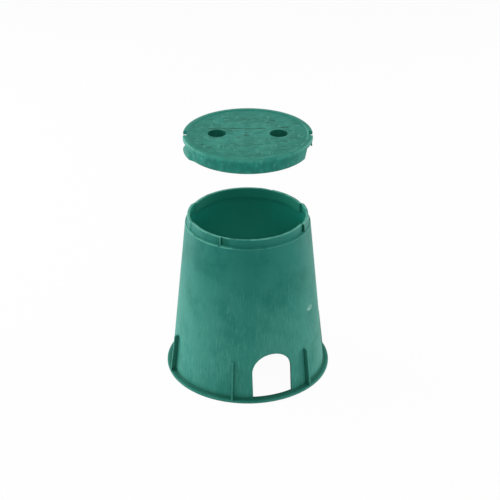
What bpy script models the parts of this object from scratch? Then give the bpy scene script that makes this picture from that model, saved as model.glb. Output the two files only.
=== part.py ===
"""Round irrigation valve box: a tapered box that is open at both ends, and its cover.

Both pieces are single mouldings. The box has a flange and six gussets at its foot, two arched
mouse holes for the pipes, and a collar that is joggled inwards at the top, apart from two lugs
where the wall runs straight up. The cover's skirt drops over the collar on to the ledge, with a
gap for each lug. The cover is drawn taken off, straight above its seat.

Azimuths are in degrees, from the front (-Y) towards the right (+X).
"""
import math

import bmesh
import bpy
from mathutils import Matrix, Vector

# Box body: the tapered wall, in metres
BOX_HEIGHT = 0.230
FOOT_RADIUS = 0.1065
SHOULDER_RADIUS = 0.0840
WALL = 0.0034
COLLAR_HEIGHT = 0.0110
COLLAR_SETBACK = 0.0055
JOGGLE_DROP = 0.0020
EDGE_ROUND = 0.0006

# Box body: the flange and the gussets at the foot
FLANGE_WIDTH = 0.0069
FLANGE_THICKNESS = 0.0030
FOOT_FILLET = 0.0022
GUSSET_COUNT = 6
GUSSET_AZIMUTH = -11.0
GUSSET_THICKNESS = 0.0030
GUSSET_HEIGHT = 0.0585
GUSSET_LEAN = 0.0065
GUSSET_CORNER = 0.0012
GUSSET_SETBACK = 0.0004

# Box body: the mouse holes, each between two gussets
HOLE_WIDTH = 0.0550
HOLE_TOP = 0.0667
HOLE_CORNER = 0.0270
HOLE_SILL = 0.0010

# Box body: the lugs on the collar, of which the left one fades out at the back and ends in a low
# toe at the front, and the latch rib with its ramp beside it
LUG_START = 65.0
LUG_END = 113.0
LUG_SETBACK = 0.0020
LUG_TURN = 1.2
LUG_RAMP = 3.0
LUG_FADE = 8.0
TOE_BEND = 5.0
TOE_RISE = 0.2
TOE_LENGTH = 6.0
LATCH_AZIMUTH = -27.0
LATCH_PROUD = 0.0006
LATCH_WIDTH = 1.0
RAMP_DEPTH = 0.0015
RAMP_WIDTH = 9.0

# Cover: the plate, its border and its skirt, which tapers inwards to its foot
COVER_OVERHANG = 0.0004
PLATE_THICKNESS = 0.0050
BORDER_WIDTH = 0.0065
BORDER_HEIGHT = 0.0006
COVER_ROUND = 0.0016
SKIRT_DEPTH = 0.0150
SKIRT_WALL = 0.0030
SKIRT_EDGE = 0.0019
SKIRT_CLEARANCE = 0.0004

# Cover: the gap in the skirt over each lug, and the flared tongue at one end of it
GAP_CLEARANCE = 1.3
GAP_RELIEF = 0.0003
GAP_INSET = 0.0050
TONGUE_CLEARANCE = 0.0005
TONGUE_SINK = 0.0001
TONGUE_INSET = 0.0006
TONGUE_SPREAD = 0.0006
TONGUE_ROOT = 3.0
TONGUE_TIP = 20.0
TONGUE_SEAT = 0.6
TONGUE_BEND = 2.0
TONGUE_FADE = 9.0

# Cover: the finger holes, the pry notches and the ribs underneath
FINGER_HOLE = 0.0240
FINGER_SPACING = 0.0800
FINGER_WALL = 0.0028
NOTCH_WIDTH = 0.0140
NOTCH_DEPTH = 0.0052
RIB_THICKNESS = 0.0020
RIB_OVERLAP = 0.0005
FINGER_WALL_DEPTH = 0.0120
RIB_DEPTH = 0.0080
RIB_END_CLEARANCE = 0.0012

# Stored pose: how far the cover is held above its seat
SEAT_GAP = 0.0003
COVER_LIFT = 0.1060

# Colours, as linear light
BOX_GREEN = (0.045, 0.235, 0.180)
COVER_GREEN = (0.055, 0.260, 0.200)

# Facets: degrees between two sections or merged into one, and segments of round edges
SECTION_STEP = 3.0
SECTION_MERGE = 0.75
SHARP_ANGLE = 30.0
ARC_SEGMENTS = 8
POST_SEGMENTS = 32
ROUND_SEGMENTS = 2
MERGE_DISTANCE = 0.00001
CUT_MARGIN = 0.0100

QUARTER_TURN = 90.0
HALF_TURN = 180.0
FULL_TURN = 360.0
LEDGE_HEIGHT = BOX_HEIGHT - COLLAR_HEIGHT
FLANGE_RADIUS = FOOT_RADIUS + FLANGE_WIDTH
COLLAR_RADIUS = SHOULDER_RADIUS - COLLAR_SETBACK
COLLAR_INNER = COLLAR_RADIUS - WALL
LUG_RADIUS = SHOULDER_RADIUS - LUG_SETBACK
COVER_RADIUS = SHOULDER_RADIUS + COVER_OVERHANG
SKIRT_INNER = COVER_RADIUS - SKIRT_WALL
SKIRT_FOOT = COLLAR_RADIUS + LATCH_PROUD + SKIRT_CLEARANCE
TONGUE_RADIUS = LUG_RADIUS + TONGUE_CLEARANCE
COVER_SEAT = LEDGE_HEIGHT + SEAT_GAP + SKIRT_DEPTH
RIB_ROOT = PLATE_THICKNESS / 2
RIB_REACH = COLLAR_INNER - RIB_END_CLEARANCE
RIB_ROW = FINGER_HOLE / 2 + FINGER_WALL + RIB_THICKNESS / 2 - RIB_OVERLAP


def remove_everything():
    for item in list(bpy.data.objects):
        bpy.data.objects.remove(item, do_unlink=True)


def on_circle(radius, azimuth, height):
    angle = math.radians(azimuth)
    return Vector((radius * math.sin(angle), -radius * math.cos(angle), height))


def round_corner(corner, before, after, radius):
    """Points of an arc that rounds a corner, between the directions of its two neighbours."""
    corner, before, after = Vector(corner), Vector(before), Vector(after)
    inward = (before - corner).normalized()
    outward = (after - corner).normalized()
    reach = radius / math.tan(inward.angle(outward) / 2)
    centre = corner + (inward + outward).normalized() * radius / math.sin(inward.angle(outward) / 2)
    start = corner + inward * reach - centre
    turn = start.angle_signed(corner + outward * reach - centre)
    points = []
    for step in range(ROUND_SEGMENTS + 1):
        arm = start.copy()
        arm.rotate(Matrix.Rotation(-turn * step / ROUND_SEGMENTS, 2))
        points.append(tuple(centre + arm))
    return points


def rounded_outline(corners):
    """A closed outline from corners of (radius, height, rounding)."""
    points = []
    for index, (across, up, rounding) in enumerate(corners):
        before = corners[index - 1][:2]
        after = corners[(index + 1) % len(corners)][:2]
        if rounding:
            points += round_corner((across, up), before, after, rounding)
        else:
            points.append((across, up))
    return points


def material(name, colour, roughness):
    """A Principled material for moulded polyethylene."""
    made = bpy.data.materials.new(name)
    made.use_nodes = True
    shader = made.node_tree.nodes["Principled BSDF"]
    shader.inputs["Base Color"].default_value = (*colour, 1.0)
    shader.inputs["Roughness"].default_value = roughness
    shader.inputs["Metallic"].default_value = 0.0
    return made


def object_from(mesh_edit, name, finish=None):
    """A scene object from a bmesh, with its faces turned outwards."""
    bmesh.ops.recalc_face_normals(mesh_edit, faces=mesh_edit.faces)
    mesh = bpy.data.meshes.new(name)
    mesh_edit.to_mesh(mesh)
    mesh_edit.free()
    if finish:
        mesh.materials.append(finish)
    made = bpy.data.objects.new(name, mesh)
    bpy.context.collection.objects.link(made)
    return made


def as_tool(tool):
    """Marks an object that only cuts or joins another one."""
    tool.hide_render = True
    tool.display_type = "WIRE"
    return tool


def combine(target, tool, operation):
    step = target.modifiers.new(f"{operation.lower()} {tool.name}", "BOOLEAN")
    step.operation = operation
    step.solver = "EXACT"
    step.object = as_tool(tool)


def add_prism(mesh_edit, bottom, top):
    """A closed solid between two loops of the same number of points."""
    lower = [mesh_edit.verts.new(point) for point in bottom]
    upper = [mesh_edit.verts.new(point) for point in top]
    mesh_edit.faces.new(lower[::-1])
    mesh_edit.faces.new(upper)
    for index in range(len(lower)):
        after = (index + 1) % len(lower)
        mesh_edit.faces.new((lower[index], lower[after], upper[after], upper[index]))


def add_bar(mesh_edit, centre, size):
    place = Matrix.Translation(centre) @ Matrix.Diagonal((*size, 1.0))
    bmesh.ops.create_cube(mesh_edit, size=1.0, matrix=place)


def add_post(mesh_edit, centre, radius, bottom, top):
    place = Matrix.Translation((*centre, (bottom + top) / 2))
    bmesh.ops.create_cone(mesh_edit, cap_ends=True, segments=POST_SEGMENTS, radius1=radius,
                          radius2=radius, depth=top - bottom, matrix=place)


# The box body

def cone_radius(height):
    """The outer radius of the tapered wall, from the ground to the ledge."""
    return FOOT_RADIUS + (SHOULDER_RADIUS - FOOT_RADIUS) * height / LEDGE_HEIGHT


def along(knots, azimuth):
    """Value at an azimuth of a curve through (azimuth, value) knots, and nothing outside it."""
    for (start, low), (end, high) in zip(knots, knots[1:]):
        if start <= azimuth <= end:
            return low + (high - low) * (azimuth - start) / (end - start)
    return 0.0


def lug_knots():
    """How much of a lug there is at each azimuth, first for the right one and then for the left."""
    start = LUG_START + HALF_TURN
    end = LUG_END + HALF_TURN
    right = [(LUG_START, 0.0), (LUG_START + LUG_TURN, 1.0), (LUG_END - LUG_RAMP, 1.0), (LUG_END, 0.0)]
    left = [(start, 0.0), (start + LUG_FADE, 1.0), (end - TOE_BEND, 1.0),
            (end + GAP_CLEARANCE / 2, TOE_RISE), (end + TOE_LENGTH, 0.0)]
    return right + left


def latch_knots():
    """The small rib on the collar and the ramp that runs back out beside it."""
    half = LATCH_WIDTH / 2
    return [(LATCH_AZIMUTH - LATCH_WIDTH, 0.0), (LATCH_AZIMUTH - half, LATCH_PROUD),
            (LATCH_AZIMUTH + half, LATCH_PROUD), (LATCH_AZIMUTH + LATCH_WIDTH, -RAMP_DEPTH),
            (LATCH_AZIMUTH + LATCH_WIDTH + RAMP_WIDTH, 0.0)]


def twice_round(knots, azimuth):
    """The same feature on both sides of the box, half a turn apart."""
    low = min(start for start, _ in knots)
    return along(knots, low + (azimuth - low) % HALF_TURN)


def collar_azimuths():
    """Every azimuth where a lug, a latch rib or its ramp begins, turns or ends."""
    latches = [azimuth + side for azimuth, _ in latch_knots() for side in (0.0, HALF_TURN)]
    lugs = [azimuth for azimuth, _ in lug_knots()]
    return [round(azimuth % FULL_TURN, 6) for azimuth in lugs + latches]


def section_azimuths():
    """Even steps round the box, and every azimuth where the collar changes."""
    found = {round(step * SECTION_STEP, 6) for step in range(round(FULL_TURN / SECTION_STEP))}
    for turned in collar_azimuths():
        found = {kept for kept in found
                 if abs(kept - turned) > SECTION_MERGE or kept % SECTION_STEP != 0}
        found.add(turned)
    return sorted(found)


def wall_section(azimuth):
    """The wall's closed section at one azimuth: up the outside and down the inside."""
    lug = along(lug_knots(), azimuth)
    latch = twice_round(latch_knots(), azimuth)
    lug_rim = LUG_RADIUS - (FOOT_RADIUS - SHOULDER_RADIUS) * COLLAR_HEIGHT / LEDGE_HEIGHT
    outer_foot = COLLAR_RADIUS + (LUG_RADIUS - COLLAR_RADIUS) * lug + latch
    outer_rim = COLLAR_RADIUS + (lug_rim - COLLAR_RADIUS) * lug + latch
    inner_foot = outer_foot - WALL - latch
    inner_rim = outer_rim - WALL - latch
    joggle = LEDGE_HEIGHT - WALL
    fillet_top = FLANGE_THICKNESS + FOOT_FILLET
    return rounded_outline([
        (FOOT_RADIUS - WALL, 0.0, 0.0),
        (FLANGE_RADIUS, 0.0, EDGE_ROUND),
        (FLANGE_RADIUS, FLANGE_THICKNESS, EDGE_ROUND),
        (cone_radius(fillet_top), FLANGE_THICKNESS, FOOT_FILLET),
        (SHOULDER_RADIUS, LEDGE_HEIGHT, EDGE_ROUND),
        (outer_foot, LEDGE_HEIGHT, 0.0),
        (outer_rim, BOX_HEIGHT, EDGE_ROUND),
        (inner_rim, BOX_HEIGHT, EDGE_ROUND),
        (inner_foot, joggle, 0.0),
        (cone_radius(joggle) - WALL, joggle - JOGGLE_DROP, 0.0),
    ])


def make_wall(finish):
    """The ring of wall, collar, lugs and flange, lofted section by section."""
    mesh_edit = bmesh.new()
    rings = []
    for azimuth in section_azimuths():
        points = [on_circle(radius, azimuth, height) for radius, height in wall_section(azimuth)]
        rings.append([mesh_edit.verts.new(point) for point in points])
    for index, ring in enumerate(rings):
        following = rings[(index + 1) % len(rings)]
        for point in range(len(ring)):
            after = (point + 1) % len(ring)
            mesh_edit.faces.new((ring[point], ring[after], following[after], following[point]))
    return object_from(mesh_edit, "box_body", finish)


def make_gussets():
    """Upright fins that brace the flange against the wall, from its edge to a blunt top."""
    mesh_edit = bmesh.new()
    spacing = FULL_TURN / GUSSET_COUNT
    inside = WALL / 2
    outer = FLANGE_RADIUS - GUSSET_SETBACK
    outline = [
        (cone_radius(0.0) - inside, FLANGE_THICKNESS / 2),
        (outer, FLANGE_THICKNESS / 2),
        (outer, FLANGE_THICKNESS + EDGE_ROUND),
        (outer - GUSSET_LEAN, GUSSET_HEIGHT - GUSSET_CORNER),
        (outer - GUSSET_LEAN - GUSSET_CORNER, GUSSET_HEIGHT),
        (cone_radius(GUSSET_HEIGHT) - inside, GUSSET_HEIGHT),
    ]
    for index in range(GUSSET_COUNT):
        azimuth = GUSSET_AZIMUTH + index * spacing
        shift = on_circle(GUSSET_THICKNESS / 2, azimuth + QUARTER_TURN, 0.0)
        middle = [on_circle(radius, azimuth, height) for radius, height in outline]
        add_prism(mesh_edit, [point - shift for point in middle], [point + shift for point in middle])
    return object_from(mesh_edit, "gusset tools")


def arch_outline():
    """The mouse hole's outline as (sideways, up): straight sides and a top with round corners."""
    half = HOLE_WIDTH / 2
    sill = FLANGE_THICKNESS + HOLE_SILL
    points = [(-half, sill), (half, sill)]
    for side in (1, -1):
        for step in range(ARC_SEGMENTS + 1):
            share = step if side > 0 else ARC_SEGMENTS - step
            angle = math.radians(QUARTER_TURN) * share / ARC_SEGMENTS
            across = half - HOLE_CORNER + HOLE_CORNER * math.cos(angle)
            up = HOLE_TOP - HOLE_CORNER + HOLE_CORNER * math.sin(angle)
            points.append((side * across, up))
    return points


def make_hole_cutters():
    """Two arched prisms, each cutting outwards half way between two gussets."""
    mesh_edit = bmesh.new()
    middle = GUSSET_AZIMUTH + FULL_TURN / GUSSET_COUNT / 2
    near = cone_radius(HOLE_TOP) - WALL - CUT_MARGIN
    far = FLANGE_RADIUS + CUT_MARGIN
    for azimuth in (middle, middle + HALF_TURN):
        across = on_circle(1.0, azimuth + QUARTER_TURN, 0.0)
        loops = []
        for radius in (near, far):
            base = on_circle(radius, azimuth, 0.0)
            loops.append([base + across * side + Vector((0, 0, up)) for side, up in arch_outline()])
        add_prism(mesh_edit, *loops)
    return object_from(mesh_edit, "hole tools")


def make_box_body():
    green = material("green polyethylene box", BOX_GREEN, 0.45)
    body = make_wall(green)
    combine(body, make_gussets(), "UNION")
    combine(body, make_hole_cutters(), "DIFFERENCE")
    return body


# The cover

def make_cover_shell(finish):
    """The plate with its border and skirt, turned about the box's axis. Zero is its underside."""
    border_inner = COVER_RADIUS - BORDER_WIDTH
    top = PLATE_THICKNESS
    outline = rounded_outline([
        (0.0, top, 0.0),
        (border_inner - BORDER_HEIGHT, top, 0.0),
        (border_inner, top + BORDER_HEIGHT, 0.0),
        (COVER_RADIUS, top + BORDER_HEIGHT, COVER_ROUND),
        (COVER_RADIUS, 0.0, 0.0),
        (SKIRT_FOOT + SKIRT_EDGE, -SKIRT_DEPTH, EDGE_ROUND),
        (SKIRT_FOOT, -SKIRT_DEPTH, EDGE_ROUND),
        (SKIRT_INNER, 0.0, COVER_ROUND),
        (0.0, 0.0, 0.0),
    ])
    mesh_edit = bmesh.new()
    verts = [mesh_edit.verts.new((radius, 0.0, height)) for radius, height in outline]
    edges = [mesh_edit.edges.new(pair) for pair in zip(verts, verts[1:])]
    bmesh.ops.spin(mesh_edit, geom=verts + edges, axis=(0, 0, 1), cent=(0, 0, 0),
                   angle=math.radians(FULL_TURN), steps=round(FULL_TURN / SECTION_STEP), use_merge=True)
    bmesh.ops.remove_doubles(mesh_edit, verts=mesh_edit.verts, dist=MERGE_DISTANCE)
    return object_from(mesh_edit, "cover", finish)


def add_strip(mesh_edit, sections):
    """A curved strip through four-cornered sections of (radius, azimuth, height) corners."""
    corners = [sections[0]]
    for first, last in zip(sections, sections[1:]):
        turn = max(abs(end[1] - start[1]) for start, end in zip(first, last))
        count = max(1, round(turn / SECTION_STEP))
        for step in range(1, count + 1):
            share = step / count
            corners.append([[low + (high - low) * share for low, high in zip(start, end)]
                            for start, end in zip(first, last)])
    rings = [[mesh_edit.verts.new(on_circle(*corner)) for corner in section] for section in corners]
    for ring, following in zip(rings, rings[1:]):
        for point in range(len(ring)):
            after = (point + 1) % len(ring)
            mesh_edit.faces.new((ring[point], ring[after], following[after], following[point]))
    mesh_edit.faces.new(rings[0][::-1])
    mesh_edit.faces.new(rings[-1])


def four_corners(azimuths, radii, heights):
    """One section of a strip, from (low, high) azimuths and heights and (inner, outer) radii."""
    return [(radii[0], azimuths[0], heights[0]), (radii[1], azimuths[0], heights[0]),
            (radii[1], azimuths[1], heights[1]), (radii[0], azimuths[1], heights[1])]


def make_lug_gaps():
    """Cutters that open the skirt all along each lug."""
    mesh_edit = bmesh.new()
    radii = (SKIRT_FOOT - GAP_INSET, COVER_RADIUS + CUT_MARGIN)
    heights = (-SKIRT_DEPTH - CUT_MARGIN, GAP_RELIEF)
    for side in (0.0, HALF_TURN):
        ends = (LUG_START - GAP_CLEARANCE + side, LUG_END + GAP_CLEARANCE + side)
        add_strip(mesh_edit, [four_corners((end, end), radii, heights) for end in ends])
    return object_from(mesh_edit, "lug gap tools")


def make_tongues():
    """A pointed tongue at one end of each gap, which flares out of the skirt and passes the lug."""
    mesh_edit = bmesh.new()
    heights = (-SKIRT_DEPTH, COVER_ROUND)
    flared = (TONGUE_RADIUS, COVER_RADIUS - TONGUE_SINK)
    joined = (SKIRT_FOOT + TONGUE_INSET, flared[1])
    faded = (joined[0], joined[0] + TONGUE_SPREAD)
    bend = LUG_END + GAP_CLEARANCE + TONGUE_SEAT
    for side in (0.0, HALF_TURN):
        tip = LUG_END - TONGUE_TIP + side
        root = LUG_END - TONGUE_ROOT + side
        stations = [(bend + side, flared), (bend + TONGUE_BEND + side, joined),
                    (bend + TONGUE_FADE + side, faded)]
        sections = [four_corners((tip, root), flared, heights)]
        sections += [four_corners((azimuth, azimuth), radii, heights) for azimuth, radii in stations]
        add_strip(mesh_edit, sections)
    return object_from(mesh_edit, "tongue tools")


def make_finger_walls():
    """The round walls under the plate that line the finger holes."""
    mesh_edit = bmesh.new()
    for side in (1, -1):
        centre = (side * FINGER_SPACING / 2, 0.0)
        add_post(mesh_edit, centre, FINGER_HOLE / 2 + FINGER_WALL, -FINGER_WALL_DEPTH, RIB_ROOT)
    return object_from(mesh_edit, "finger wall tools")


def make_long_ribs():
    """Two ribs beside the finger holes, from one side of the collar to the other."""
    mesh_edit = bmesh.new()
    half = math.sqrt(RIB_REACH ** 2 - (RIB_ROW + RIB_THICKNESS) ** 2)
    for side in (1, -1):
        centre = (0.0, side * RIB_ROW, (RIB_ROOT - RIB_DEPTH) / 2)
        add_bar(mesh_edit, centre, (2 * half, RIB_THICKNESS, RIB_DEPTH + RIB_ROOT))
    return object_from(mesh_edit, "long rib tools")


def make_cross_ribs():
    """Ribs square to the long ones: one through the middle, and one outwards from each finger wall."""
    mesh_edit = bmesh.new()
    depth = RIB_DEPTH - EDGE_ROUND
    middle = (RIB_ROOT - depth) / 2
    far = math.sqrt(RIB_REACH ** 2 - (FINGER_SPACING / 2 + RIB_THICKNESS) ** 2)
    for across in (-FINGER_SPACING / 2, FINGER_SPACING / 2):
        for side in (1, -1):
            centre = (across, side * (far + RIB_ROW) / 2, middle)
            add_bar(mesh_edit, centre, (RIB_THICKNESS, far - RIB_ROW, depth + RIB_ROOT))
    add_bar(mesh_edit, (0.0, 0.0, middle), (RIB_THICKNESS, 2 * RIB_REACH - RIB_THICKNESS, depth + RIB_ROOT))
    return object_from(mesh_edit, "cross rib tools")


def make_cover_holes():
    """Finger holes through the plate and their walls, and a pry notch at each end of their line."""
    mesh_edit = bmesh.new()
    above = PLATE_THICKNESS + CUT_MARGIN
    length = NOTCH_DEPTH + CUT_MARGIN
    for side in (1, -1):
        add_post(mesh_edit, (side * FINGER_SPACING / 2, 0.0), FINGER_HOLE / 2, -SKIRT_DEPTH, above)
        middle = side * (COVER_RADIUS - NOTCH_DEPTH + length / 2)
        low = -COVER_ROUND
        add_bar(mesh_edit, (middle, 0.0, (above + low) / 2), (length, NOTCH_WIDTH, above - low))
    return object_from(mesh_edit, "cover hole tools")


def make_cover():
    green = material("green polyethylene cover", COVER_GREEN, 0.42)
    cover = make_cover_shell(green)
    steps = ((make_finger_walls, "UNION"), (make_long_ribs, "UNION"), (make_cross_ribs, "UNION"),
             (make_lug_gaps, "DIFFERENCE"), (make_tongues, "UNION"), (make_cover_holes, "DIFFERENCE"))
    place = Matrix.Translation((0.0, 0.0, COVER_SEAT + COVER_LIFT))
    for make, operation in steps:
        tool = make()
        tool.matrix_world = place
        combine(cover, tool, operation)
    cover.matrix_world = place
    return cover


def shade(piece):
    """Smooth round faces, with the edges between flat ones kept sharp."""
    piece.data.shade_smooth()
    piece.data.set_sharp_from_angle(angle=math.radians(SHARP_ANGLE))


def main():
    remove_everything()
    for piece in (make_box_body(), make_cover()):
        shade(piece)


main()
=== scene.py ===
"""A round irrigation valve box with its cover taken off and held straight above its seat.

Both pieces are injection moulded in green polyethylene. Sizes are in metres, in the frame of the
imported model: the box stands on the ground on its own axis. Azimuths are in degrees, from the
front (-Y) towards the right (+X).
"""

import math

import bmesh
import bpy
from mathutils import Matrix, Vector


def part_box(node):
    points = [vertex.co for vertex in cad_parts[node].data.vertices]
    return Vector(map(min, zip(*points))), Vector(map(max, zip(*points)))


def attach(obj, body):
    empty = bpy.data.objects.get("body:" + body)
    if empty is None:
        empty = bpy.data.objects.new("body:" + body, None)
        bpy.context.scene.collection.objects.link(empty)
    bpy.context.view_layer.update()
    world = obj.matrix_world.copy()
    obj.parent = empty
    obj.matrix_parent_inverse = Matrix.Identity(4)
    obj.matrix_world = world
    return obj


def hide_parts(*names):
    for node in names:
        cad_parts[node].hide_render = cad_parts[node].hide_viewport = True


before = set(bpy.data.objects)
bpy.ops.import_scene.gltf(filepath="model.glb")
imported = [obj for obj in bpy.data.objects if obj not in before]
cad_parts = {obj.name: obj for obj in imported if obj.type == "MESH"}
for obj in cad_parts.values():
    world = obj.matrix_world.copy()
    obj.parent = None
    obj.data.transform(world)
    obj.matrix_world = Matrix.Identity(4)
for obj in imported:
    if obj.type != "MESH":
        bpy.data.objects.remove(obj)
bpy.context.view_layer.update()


# The box: one polyethylene moulding, open at both ends. Its wall tapers up to a ledge, where it is
# joggled inwards to a collar that the cover's skirt drops over, and a flange runs round its foot. Two
# lugs on the collar, where the wall runs straight up, and two thin latch ribs stop the cover turning.
MILLIMETRE = 0.001
BOX_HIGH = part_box("box_body")[1]
BOX_HEIGHT = BOX_HIGH.z
FLANGE_RADIUS = BOX_HIGH.x
FLANGE_WIDTH = 6.9 * MILLIMETRE
FLANGE_THICKNESS = 3.0 * MILLIMETRE
FOOT_FILLET = 2.2 * MILLIMETRE
FOOT_RADIUS = FLANGE_RADIUS - FLANGE_WIDTH
SHOULDER_RADIUS = 84.0 * MILLIMETRE
WALL = 3.4 * MILLIMETRE
LEDGE_WIDTH = 5.5 * MILLIMETRE
COLLAR_HEIGHT = 11.0 * MILLIMETRE
COLLAR_RADIUS = SHOULDER_RADIUS - LEDGE_WIDTH
COLLAR_INNER = COLLAR_RADIUS - WALL
LEDGE_HEIGHT = BOX_HEIGHT - COLLAR_HEIGHT
JOGGLE_TOP = LEDGE_HEIGHT - WALL
JOGGLE_DROP = 2.0 * MILLIMETRE
MOULD_ROUND = 0.6 * MILLIMETRE
LEDGE_FILLET = 0.5 * MILLIMETRE
ROUND_SEGMENTS = 3
SPIN_STEPS = 240
FULL_ROUND = 360.0
HALF_ROUND = 180.0
QUARTER_ROUND = 90.0
TOLERANCE = 0.01 * MILLIMETRE

# The right lug has blunt ends. The left one fades out at the back and ends in front in a low toe.
# Beside each latch rib the collar is hollowed to a ramp. Their ends and widths are in degrees.
LUG_STEP = 2.0 * MILLIMETRE
LUG_RADIUS = SHOULDER_RADIUS - LUG_STEP
LUG_START = 65.0
LUG_END = 113.0
LUG_TURN = 1.2
LUG_RAMP = 3.0
LUG_FADE = 8.0
TOE_BEND = 5.0
TOE_START = 0.65
TOE_SHARE = 0.2
TOE_LENGTH = 6.0
LATCH_AZIMUTH = -27.0
LATCH_WIDTH = 1.0
LATCH_PROUD = 0.6 * MILLIMETRE
RAMP_DEPTH = 1.5 * MILLIMETRE
RAMP_WIDTH = 9.0
TURN_STEPS = 4


def on_circle(radius, azimuth, height):
    """The point at this radius, azimuth and height."""
    angle = math.radians(azimuth)
    return Vector((radius * math.sin(angle), -radius * math.cos(angle), height))


def radius_of(point):
    """How far a point is from the axis."""
    return math.hypot(point.x, point.y)


def part_way(start, end, share):
    """The value that lies this share of the way from start to end."""
    return start + (end - start) * share


def cone_radius(height):
    """The wall's outer radius, which tapers evenly from the foot to the ledge."""
    return part_way(FOOT_RADIUS, SHOULDER_RADIUS, height / LEDGE_HEIGHT)


def spin_section(section, closed):
    """A mesh turned about the axis from a section of (radius, height) corners."""
    turned = bmesh.new()
    verts = [turned.verts.new((radius, 0.0, height)) for radius, height in section]
    ends = verts[1:] + verts[:1] if closed else verts[1:]
    edges = [turned.edges.new(pair) for pair in zip(verts, ends)]
    bmesh.ops.spin(turned, geom=verts + edges, axis=(0, 0, 1), cent=(0, 0, 0),
                   angle=math.tau, steps=SPIN_STEPS, use_merge=True)
    bmesh.ops.remove_doubles(turned, verts=turned.verts, dist=TOLERANCE)
    bmesh.ops.recalc_face_normals(turned, faces=turned.faces)
    return turned


def lies_on(edge, radius, height):
    """Whether an edge lies on the circle at this radius and height."""
    return all(abs(radius_of(vert.co) - radius) < TOLERANCE and abs(vert.co.z - height) < TOLERANCE
               for vert in edge.verts)


def round_rings(turned, rings, width):
    """Rounds the circular edges that run through these (radius, height) corners."""
    edges = [edge for edge in turned.edges if any(lies_on(edge, *ring) for ring in rings)]
    bmesh.ops.bevel(turned, geom=edges, affect="EDGES", offset=width, segments=ROUND_SEGMENTS,
                    profile=0.5, material=-1)


def cut_across(turned, azimuth, low, high, inner, outer):
    """Cuts the faces between these heights and radii with a plane through the axis."""
    faces = [face for face in turned.faces
             if all(low <= vert.co.z <= high and inner <= radius_of(vert.co) <= outer
                    for vert in face.verts)]
    edges = {edge for face in faces for edge in face.edges}
    verts = {vert for face in faces for vert in face.verts}
    bmesh.ops.bisect_plane(turned, geom=faces + list(edges) + list(verts), dist=TOLERANCE,
                           plane_co=(0, 0, 0), plane_no=on_circle(1.0, azimuth + QUARTER_ROUND, 0.0))


def eased(share):
    """A share of a step, eased at both ends."""
    share = min(max(share, 0.0), 1.0)
    return share * share * (3.0 - 2.0 * share)


def azimuth_in_pair(point, start):
    """The azimuth of a point, brought into the half round that begins at start."""
    azimuth = math.degrees(math.atan2(point.x, -point.y))
    return start + (azimuth - start) % HALF_ROUND


def lug_stations():
    """How much of a lug stands at each azimuth where it changes: first the right lug, then the left."""
    start = LUG_START + HALF_ROUND
    end = LUG_END + HALF_ROUND
    return [(LUG_START, 0.0), (LUG_START + LUG_TURN, 1.0), (LUG_END - LUG_RAMP, 1.0), (LUG_END, 0.0),
            (start, 0.0), (start + LUG_FADE, 1.0), (end - TOE_BEND, 1.0),
            (end + TOE_START, TOE_SHARE), (end + TOE_LENGTH, 0.0)]


def lug_share(point):
    """How much of a lug stands at this point's azimuth, from none to all of it."""
    azimuth = math.degrees(math.atan2(point.x, -point.y)) % FULL_ROUND
    stations = lug_stations()
    for (start, low), (end, high) in zip(stations, stations[1:]):
        if start <= azimuth <= end:
            return part_way(low, high, eased((azimuth - start) / (end - start)))
    return 0.0


def latch_rise(point):
    """How far the collar stands out at a latch rib, or in on the ramp beside it."""
    past = azimuth_in_pair(point, LATCH_AZIMUTH - 2.0 * LATCH_WIDTH) - LATCH_AZIMUTH
    if past < LATCH_WIDTH / 2:
        return LATCH_PROUD * eased((past + LATCH_WIDTH) / (LATCH_WIDTH / 2))
    if past < LATCH_WIDTH:
        return part_way(LATCH_PROUD, -RAMP_DEPTH, 2.0 * past / LATCH_WIDTH - 1.0)
    return -RAMP_DEPTH * max(0.0, 1.0 - (past - LATCH_WIDTH) / RAMP_WIDTH)


def feature_azimuths():
    """Every azimuth where the collar needs a line of points."""
    found = [LATCH_AZIMUTH + halves * LATCH_WIDTH / 2 for halves in (-2, -1, 1, 2)]
    stations = lug_stations()
    for (start, low), (end, high) in zip(stations, stations[1:]):
        if low != high:
            found += [part_way(start, end, step / TURN_STEPS) for step in range(TURN_STEPS + 1)]
    return found


def shape_collar(turned):
    """Moves the collar out to its lugs and latch ribs, and its inside out behind the lugs."""
    reach = COLLAR_RADIUS + LEDGE_FILLET + TOLERANCE
    for azimuth in feature_azimuths():
        cut_across(turned, azimuth, JOGGLE_TOP - TOLERANCE, BOX_HEIGHT + TOLERANCE,
                   COLLAR_INNER - TOLERANCE, reach)
    draft = (FOOT_RADIUS - SHOULDER_RADIUS) / LEDGE_HEIGHT
    middle = COLLAR_RADIUS - WALL / 2
    for vert in turned.verts:
        radius = radius_of(vert.co)
        if radius > reach or vert.co.z < JOGGLE_TOP - TOLERANCE:
            continue
        shift = lug_share(vert.co) * (LUG_RADIUS - COLLAR_RADIUS - draft * (vert.co.z - LEDGE_HEIGHT))
        if radius > middle:
            shift += latch_rise(vert.co)
        vert.co.xy *= (radius + shift) / radius


def make_object(mesh_edit, name):
    """A scene object from a mesh in the making."""
    mesh = bpy.data.meshes.new(name)
    mesh_edit.to_mesh(mesh)
    mesh_edit.free()
    made = bpy.data.objects.new(name, mesh)
    bpy.context.scene.collection.objects.link(made)
    return made


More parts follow.
